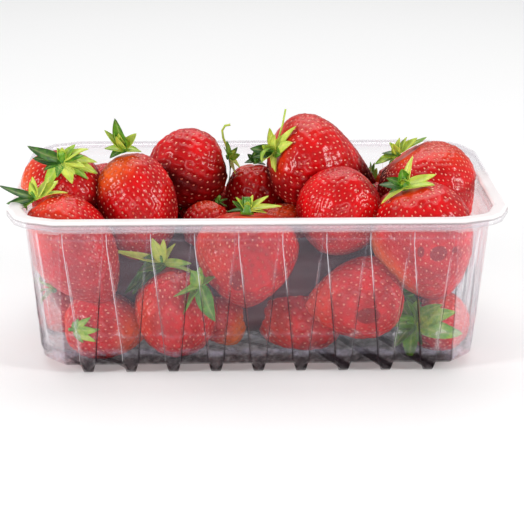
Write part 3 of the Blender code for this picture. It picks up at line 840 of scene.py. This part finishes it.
# The caps: the star of green sepals that each berry keeps where it was picked. Some are fresh and
# wide, some short and wilted, and each has the cut stub of its stalk in the middle.
# A sepal's depth of green is partly its own green and partly painted shade: sepals that lie in shade are given a
# deeper green.
CAPS = {  # each sepal: the way it points (degrees, 0 right and 90 up as seen from the front), its
    # length and width (mm), its rise off the berry and its curl (degrees), how deep its green is
    "left_top": (
        (5, 12, 4, 10, -30, 0.10), (-15, 13, 4.5, 5, -30, 0.15), (-40, 10, 4, 5, -20, 0.45),
        (-75, 9, 3.8, 0, -20, 0.10), (-115, 12, 3.4, 10, -40, 0.30), (-135, 7, 3, 10, 0, 0.80),
        (185, 10, 4.5, 5, 30, 0.95), (172, 13, 4, 15, 40, 0.90), (120, 5, 2.5, 30, -20, 0.40),
        (80, 5, 3, 30, 0, 0.20), (50, 7, 3, 20, -30, 0.40), (25, 10, 3.6, 15, -30, 0.10),
        (-5, 8, 3, 30, 0, 0.60), (-60, 7, 3, 20, 0, 0.05), (-28, 9, 3, 20, -10, 0.05),
        (-95, 7, 3, 15, 0, 0.70),
    ),
    "left_front": (
        (15, 10, 4.5, 10, 20, 0.05), (35, 9, 4, 20, 20, 0.10), (-5, 11, 4, 5, 10, 0.10),
        (-25, 8, 4, 5, 0, 0.30), (178, 13, 3.5, 5, 20, 0.95), (195, 10, 3.5, 0, 10, 0.95),
        (215, 8, 4, 0, -10, 0.50), (90, 6, 3.5, 30, 0, 0.20), (60, 8, 3.5, 30, 10, 0.10),
    ),
    "left_tall": (
        (165, 10, 4, 20, 10, 0.20), (140, 9, 4.5, 30, 20, 0.35), (115, 7, 4, 50, 0, 0.30),
        (85, 9, 3, 60, 0, 0.10), (62, 14, 5.5, 60, 10, 0.70), (75, 8, 4, 50, 10, 0.05),
        (35, 7, 4, 20, 0, 0.15), (-20, 6, 4, 10, 0, 0.30), (-75, 5, 4.5, 0, 0, 0.80),
        (-110, 6, 4.5, 0, 0, 0.85), (-150, 6, 4.5, 5, 0, 0.75), (190, 7, 4, 10, 0, 0.30),
    ),
    "left_crest": (
        (100, 6, 3, 10, 10, 0.60), (60, 5, 2.5, 20, 0, 0.60), (-75, 7, 3.5, 10, 10, 0.05),
        (-55, 6, 3.5, 20, 0, 0.10), (-90, 9, 4, 0, -10, 0.85), (30, 6, 3, 40, 0, 0.50),
        (0, 5, 3, 60, 0, 0.30), (130, 4, 3, 0, 0, 0.40), (-110, 7, 4, 0, 0, 0.90),
    ),
    "middle_dark": (
        (100, 4, 2.5, 20, 0, 0.90), (60, 5, 3, 10, 0, 0.85), (140, 4, 2.5, 5, 0, 0.90),
        (20, 5, 3, 5, 0, 0.90), (-30, 4, 2.5, 0, 0, 0.90), (180, 4, 2.5, 0, 0, 0.90),
    ),
    "high_crest": (
        (30, 12, 4.2, 25, -10, 0.08), (2, 10, 4.2, 20, -10, 0.12), (-18, 7, 3.5, 15, -10, 0.60),
        (-60, 8, 3.4, 15, 0, 0.10), (-85, 6, 3, 10, 0, 0.05), (75, 9, 3.4, 30, 10, 0.15),
        (100, 11, 3, 40, 150, 0.45), (185, 9.5, 4.0, 15, 20, 0.95), (200, 8, 3.4, 10, 10, 0.95),
        (130, 6, 3.4, 30, 20, 0.20), (230, 6, 3, 10, 0, 0.05), (50, 7, 3, 45, 0, 0.10),
    ),
    "middle_front": (
        (0, 12, 3.2, 15, -10, 0.05), (16, 9, 3, 25, -10, 0.15), (170, 6, 3, 15, 20, 0.80),
        (190, 7, 3, 10, 0, 0.90), (150, 6, 2.6, 30, 0, 0.30), (90, 4, 3, 40, 0, 0.30),
        (50, 6, 2.6, 30, 0, 0.10), (-20, 7, 2.6, 15, 0, 0.10), (125, 5, 2.6, 30, 0, 0.70),
    ),
    "right_crest": (
        (32, 12, 3.5, 5, -5, 0.35), (25, 9, 3.5, 15, 0, 0.15), (40, 7, 3, 30, 0, 0.30),
        (205, 9, 3.5, 5, 0, 0.40), (215, 7, 3, 15, 10, 0.30), (190, 6, 3, 20, 0, 0.90),
        (60, 6, 3, 30, 0, 0.15), (100, 5, 3, 40, 0, 0.10), (150, 6, 3, 30, 0, 0.30),
        (-60, 5, 3, 0, 0, 0.50), (-100, 5, 3, 0, 0, 0.50),
    ),
    "right_front": (
        (66, 10.5, 3.0, 30, -10, 0.05), (12, 11, 3.4, 12, -10, 0.08), (-8, 7, 3, 10, 0, 0.15),
        (-38, 10, 5.4, 6, -10, 0.20), (-122, 10, 4, 6, -10, 0.12), (-150, 6, 3, 5, 0, 0.80),
        (190, 9, 4.2, 10, 5, 0.95), (165, 7, 3.4, 20, 0, 0.80), (125, 8, 4.4, 35, 40, 0.60),
        (95, 6, 3.6, 50, 40, 0.45), (110, 5, 3, 60, 0, 0.20), (-90, 5, 3, 5, 0, 0.30),
    ),
    "low_upright": (
        (112, 9.5, 4, 20, 0, 0.10), (78, 7.5, 3.5, 30, 0, 0.10), (58, 9, 3.5, 25, 0, 0.10),
        (45, 8, 3.5, 20, 0, 0.20), (170, 18, 3.5, 10, -10, 0.10), (203, 9.5, 6.5, 10, 0, 0.65),
        (214, 17, 5.5, 5, 0, 0.95), (232, 15, 6.5, 5, 0, 0.95), (255, 12, 5, 0, 0, 0.95),
        (-8, 10, 3, 10, 0, 0.35), (-28, 13, 3.5, 5, 0, 0.40), (190, 8, 5, 20, 0, 0.90),
    ),
    "low_small": (
        (208, 10, 7, 10, 10, 0.60), (248, 12, 6.5, 10, 5, 0.55), (288, 15, 6, 8, 0, 0.70),
        (120, 6, 5, 20, 0, 0.50), (70, 6, 5, 20, 0, 0.50), (20, 6, 5, 10, 0, 0.60),
    ),
    "left_low": (
        (2, 9, 2.6, 10, 20, 0.40), (-25, 8, 2.4, 10, 0, 0.30), (30, 7, 2.2, 20, 0, 0.45),
        (60, 4, 2, 20, 0, 0.60), (-55, 5, 2.2, 5, 0, 0.60), (90, 3, 2, 20, 0, 0.60),
    ),
    "left_corner": (
        (165, 9, 4, 10, 0, 0.45), (190, 9, 4.5, 5, 0, 0.50), (140, 6, 4, 20, 0, 0.40),
        (220, 8, 4, 0, 0, 0.55), (90, 4, 3, 20, 0, 0.50),
    ),
    "low_round": (
        (180, 9, 4.5, 10, 0, 0.90), (205, 9, 4, 10, 0, 0.85), (150, 8, 4, 10, 0, 0.90),
        (230, 9, 4, 5, 0, 0.90), (110, 6, 4, 10, 0, 0.90), (270, 6, 4, 0, 0, 0.90),
    ),
    "low_pointed": (
        (80, 10, 4, 20, 0, 0.85), (60, 8, 4, 20, 0, 0.80), (-70, 12, 4.5, 10, 10, 0.80),
        (-50, 10, 4, 10, 0, 0.75), (20, 7, 4, 20, 0, 0.70), (-10, 7, 4, 20, 0, 0.70),
    ),
    "right_low": (
        (10, 13, 4.5, 20, -10, 0.45), (-8, 12, 4, 10, -10, 0.50), (25, 11, 4.5, 25, 0, 0.50),
        (-88, 14, 5.5, 10, -10, 0.60), (-120, 11, 5.5, 10, 0, 0.75), (-60, 8, 4.5, 5, 0, 0.60),
        (112, 17, 4, 20, 0, 0.85), (85, 9, 5, 30, 0, 0.65), (55, 9, 5, 30, 0, 0.55),
        (150, 8, 5, 20, 0, 0.70), (190, 8, 5, 10, 0, 0.80), (235, 8, 5, 0, 0, 0.80),
    ),
    "rim_sliver": (
        (0, 4, 2, 20, 0, 0.80), (-40, 4, 2, 10, 0, 0.70), (60, 2, 2, 20, 0, 0.60),
    ),
}
PLAIN_CAP = tuple((45 * index, 9, 4.2, 10, 5, 0.5) for index in range(8))
CAP_SHIFTS = {  # how far a cap sits from the berry's end, right and up as seen from the front (mm)
    "left_top": (2, -4.5), "left_tall": (0, -3), "right_front": (-1, 0), "low_upright": (0, 2),
    "middle_front": (-1, 0), "middle_dark": (2, -4), "high_crest": (2, -1), "right_crest": (0, -3),
}
CAP_PLACES = {  # caps that hang clear of their berry
    "low_small": (-22, -44, 35), "left_corner": (-80, -27, 27), "left_low": (-70, -44, 17),
}
STUBS = {  # radius and length of the stalk's stub (mm)
    "left_top": (1.6, 4.0), "right_front": (2.0, 4.5), "middle_front": (2.4, 5.0),
}
PLAIN_STUB = (0.9, 3.0)
STEMS = {  # thin stems: their radius, then their way from the cap, right and up (mm)
    "left_crest": (0.5, ((0, 0), (-0.5, 4), (-2.0, 8), (-2.4, 11), (-1.2, 13), (1.0, 13.4))),
    "high_crest": (0.4, ((1.5, 3), (2.6, 7), (3.8, 11), (4.6, 15), (5.0, 17))),
}
LEAF_STEPS = 14
LEAF_WIDE_STEPS = 7
LEAF_THICK = 0.3 * MM
LEAF_GAP = 0.5 * MM
RIGHTWARDS = np.array((1.0, 0.0, 0.0))
UPWARDS = np.array((0.0, math.sin(CAMERA_RISE), math.cos(CAMERA_RISE)))
FRONTWARDS = np.array((0.0, -math.cos(CAMERA_RISE), math.sin(CAMERA_RISE)))


def lift_off(points, berry):
    """Moves points that are inside a berry straight out from its middle to just over its skin.

    The skin's distance from the middle is read off its profile at the point's angle from the crown.
    """
    crown, tip, width, widest, cone = berry[:5]
    origin, length, axes = berry_frame(crown, tip)
    share = (1 - np.cos(np.linspace(0, math.pi, 90))) / 2
    radius = (share / widest) ** (cone * widest)
    radius = radius * ((1 - share) / (1 - widest)) ** (cone * (1 - widest)) * width / 2 * MM
    middle = origin + 0.42 * length * axes[2]
    ahead = (0.42 - share) * length
    local = (points - middle) @ axes.T
    reach = np.linalg.norm(local, axis=-1)
    angle = np.arctan2(np.hypot(local[..., 0], local[..., 1]), -local[..., 2])
    skin = np.interp(angle, np.arctan2(radius, ahead), np.hypot(radius, ahead))
    needed = skin * 1.03 + LEAF_GAP
    grow = np.maximum(needed / np.maximum(reach, 1e-6), 1.0)
    return middle + (local * grow[..., None]) @ axes


def sepal_grid(length, width, rise, curl, twist, fold):
    """One sepal's grid of points from root to tip, in its own frame: x along, z off the berry.

    Its middle line starts at the root at an angle and bends evenly. Its width is a lens with a
    pointed tip, 0.3 (1 - u) ** 2 + sin(pi u ** 0.8) ** 0.8 (1 - u / 4), and its two halves fold
    up like a shallow V.
    """
    u = np.linspace(0, 1, LEAF_STEPS)
    angle = np.radians(rise + curl * u)
    step = length / (LEAF_STEPS - 1)
    x = np.concatenate([[0], np.cumsum(np.cos(angle[1:]) * step)])
    z = np.concatenate([[0], np.cumsum(np.sin(angle[1:]) * step)])
    half = width / 2 * (0.3 * (1 - u) ** 2 + np.sin(math.pi * u**0.8) ** 0.8 * (1 - 0.25 * u))
    v = np.linspace(-1, 1, LEAF_WIDE_STEPS)
    roll = twist * u[:, None]
    across = v[None, :] * half[:, None]
    lift = fold * np.abs(across)
    y = across * np.cos(roll) - lift * np.sin(roll)
    up = across * np.sin(roll) + lift * np.cos(roll)
    columns = (x[:, None] - up * np.sin(angle)[:, None], y, z[:, None] + up * np.cos(angle)[:, None])
    marks = (u[:, None] * np.ones_like(v), np.abs(v)[None, :] * np.ones_like(u)[:, None])
    return np.stack(columns, axis=2), marks


def leaf_solid(grid):
    """Closes a leaf's grid into a thin solid: its upper side, its lower side and its edge."""
    rows, count = grid.shape[:2]
    normal = np.cross(np.gradient(grid, axis=0), np.gradient(grid, axis=1))
    normal /= np.linalg.norm(normal, axis=2)[:, :, None] + 1e-12
    upper = (grid + normal * LEAF_THICK / 2).reshape(-1, 3)
    lower = (grid - normal * LEAF_THICK / 2).reshape(-1, 3)
    row, column = np.mgrid[: rows - 1, : count - 1]
    low = (row * count + column).ravel()
    quads = np.stack([low, low + count, low + count + 1, low + 1], axis=1)
    size = rows * count
    ring = np.concatenate([
        np.arange(count - 1),
        np.arange(rows - 1) * count + count - 1,
        size - 1 - np.arange(count - 1),
        np.arange(rows - 1, 0, -1) * count,
    ])
    after = np.roll(ring, -1)
    edge = np.stack([ring, size + ring, size + after, after], axis=1)
    return np.concatenate([upper, lower]), np.concatenate([quads, size + quads[:, ::-1], edge])


def stem_tube(path, radii):
    """A round stem along a path, eight-sided, its two ends closed by a point."""
    path = np.array(path)
    ahead = np.gradient(path, axis=0)
    ahead /= np.linalg.norm(ahead, axis=1)[:, None]
    side = np.cross(ahead, (0.31, 0.87, 0.39))
    side /= np.linalg.norm(side, axis=1)[:, None]
    other = np.cross(ahead, side)
    turn = np.arange(8) * math.pi / 4
    ring = np.cos(turn)[None, :, None] * side[:, None] + np.sin(turn)[None, :, None] * other[:, None]
    points = (path[:, None] + np.array(radii)[:, None, None] * ring).reshape(-1, 3)
    quads = wound_faces(len(path), 8, 0, True)
    first, last = len(points), len(points) + 1
    near = np.arange(8)
    far = near + 8 * (len(path) - 1)
    caps = [(first, (k + 1) % 8, k) for k in near]
    caps += [(last, k, far[0] + (k - far[0] + 1) % 8) for k in far]
    return np.concatenate([points, path[:1], path[-1:]]), [*quads.tolist(), *caps]


def leaf_green():
    """Sepal green: pale lime to deep green, set per sepal and partly painted shade, paler along the middle vein
    and at the root.
    """
    leaf = surface_material("leaf_green")
    along = leaf.attribute("along")
    across = leaf.attribute("across")
    tone = leaf.attribute("tone")
    grain = leaf.grain(2.5 * MM, 3.0)
    greens = [(0.0, (0.62, 0.70, 0.10, 1)), (0.30, (0.36, 0.52, 0.04, 1))]
    greens += [(0.60, (0.10, 0.30, 0.015, 1)), (1.0, (0.012, 0.07, 0.006, 1))]
    depth = tone + (grain - 0.5) * 0.8 + (along - 0.5) * 0.15
    colour = leaf.node("ValToRGB", {"stops": greens}, {"Fac": depth})
    vein = (1 - across) ** 6.0
    colour = leaf.blend(vein * 0.30, colour, (0.72, 0.74, 0.30, 1))
    height = vein + grain * 0.5
    bump = leaf.node("Bump", None, {"Strength": 0.5, "Distance": 0.3 * MM, "Height": height})
    inputs = {"Base Color": colour, "Roughness": 0.42, "Normal": bump}
    inputs |= {"Subsurface Weight": 0.15, "Subsurface Scale": 1.0 * MM}
    shader = leaf.node("BsdfPrincipled", None, inputs)
    leaf.node("OutputMaterial", None, {"Surface": shader})
    return leaf.owner


leaf_points, leaf_faces, leaf_marks, total = [], [], [], 0


def add_leaf(points, faces, along, across, tone):
    """Adds one closed leaf or stem to the caps, with what its colour needs."""
    global total
    leaf_points.append(points)
    leaf_faces.extend([[int(corner) + total for corner in face] for face in faces])
    leaf_marks.append(np.stack(np.broadcast_arrays(along, across, tone, np.zeros(len(points)))))
    total += len(points)


for index, (name, berry) in enumerate(BERRIES.items()):
    random = np.random.default_rng(900 + index)
    origin, _, axes = berry_frame(berry[0], berry[1])
    out = -axes[2]
    right, up = CAP_SHIFTS.get(name, (0, 0))
    root = lift_off(origin + (right * RIGHTWARDS + up * UPWARDS) * MM, berry)
    if name in CAP_PLACES:
        root = np.array(CAP_PLACES[name]) * MM
    for way, length, width, rise, curl, tone in CAPS.get(name, PLAIN_CAP):
        turn = math.radians(way + random.uniform(-5, 5))
        along_way = math.cos(turn) * RIGHTWARDS + math.sin(turn) * UPWARDS
        off_way = out + 0.6 * FRONTWARDS
        if name.startswith("back"):
            along_way = math.cos(turn) * axes[0] + math.sin(turn) * axes[1]
            off_way = out
        off_way = off_way - (off_way @ along_way) * along_way
        off_way /= np.linalg.norm(off_way)
        size = (1.15 * length * MM, 1.2 * width * MM, rise + random.uniform(-6, 6), curl + random.uniform(-12, 12))
        grid, marks = sepal_grid(*size, random.uniform(-0.5, 0.5), random.uniform(0.1, 0.45))
        frame_now = np.stack([along_way, np.cross(off_way, along_way), off_way])
        grid = lift_off(root + grid @ frame_now, berry)
        solid, faces = leaf_solid(press_on_film(grid.reshape(-1, 3)).reshape(grid.shape))
        along, across = (np.tile(values.ravel(), 2) for values in marks)
        add_leaf(solid, faces, along, across, tone)
    radius, length = STUBS.get(name, PLAIN_STUB)
    steps = np.linspace(-0.3, 1, 6)
    path = root + steps[:, None] * length * MM * out
    radii = radius * MM * np.array((1.2, 1.1, 0.9, 0.85, 0.9, 0.7))
    stub, faces = stem_tube(path, radii)
    add_leaf(stub, faces, 0.5, 1.0, 0.65)
    if name in STEMS:
        radius, ways = STEMS[name]
        path = [root + (right * RIGHTWARDS + up * UPWARDS) * MM for right, up in ways]
        stem, faces = stem_tube(path, np.full(len(path), radius * MM))
        add_leaf(stem, faces, 0.3, 1.0, 0.25)
caps = mesh_piece("caps", np.concatenate(leaf_points), leaf_faces, leaf_green())
for layer, values in zip(("along", "across", "tone"), np.concatenate(leaf_marks, axis=1)):
    mark(caps, layer, values)
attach(caps, "root")
